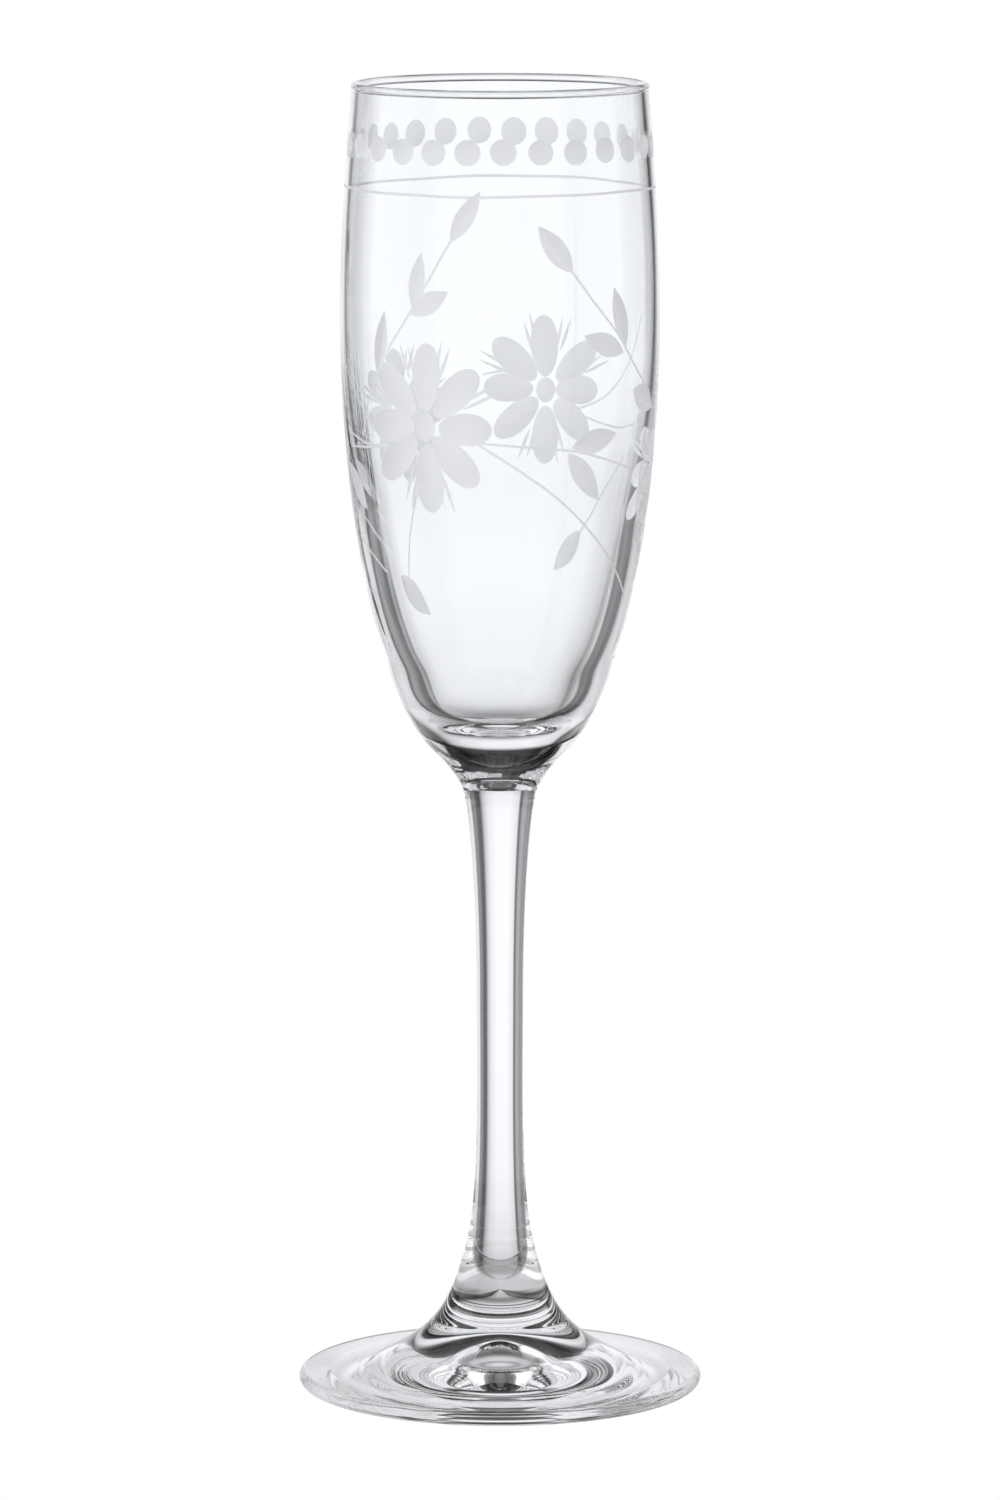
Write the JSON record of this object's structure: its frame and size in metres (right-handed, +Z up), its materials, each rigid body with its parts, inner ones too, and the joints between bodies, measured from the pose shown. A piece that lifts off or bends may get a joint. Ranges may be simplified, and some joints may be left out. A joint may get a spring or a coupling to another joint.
{
  "type": "champagne flute",
  "caption": "Tall clear-glass champagne flute with a cut and engraved tulip bowl on a slim stem and a round foot, for sparkling wine.",
  "frame": {"origin": "centre of the foot, on the surface the glass stands on", "axes": "+Z up along the glass's axis of turning, from the foot to the rim; X and Y are level, and -Y is the side seen from the front"},
  "size_m": [0.0696, 0.0696, 0.225],
  "materials": {
    "bowl_glass": "clear, polished, with frosted cuts",
    "stem_glass": "clear, fire-polished",
    "foot_glass": "clear, fire-polished"
  },
  "bodies": {
    "root": {"bowl": "bowl_glass", "stem": "stem_glass", "foot": "foot_glass"}
  },
  "joints": []
}
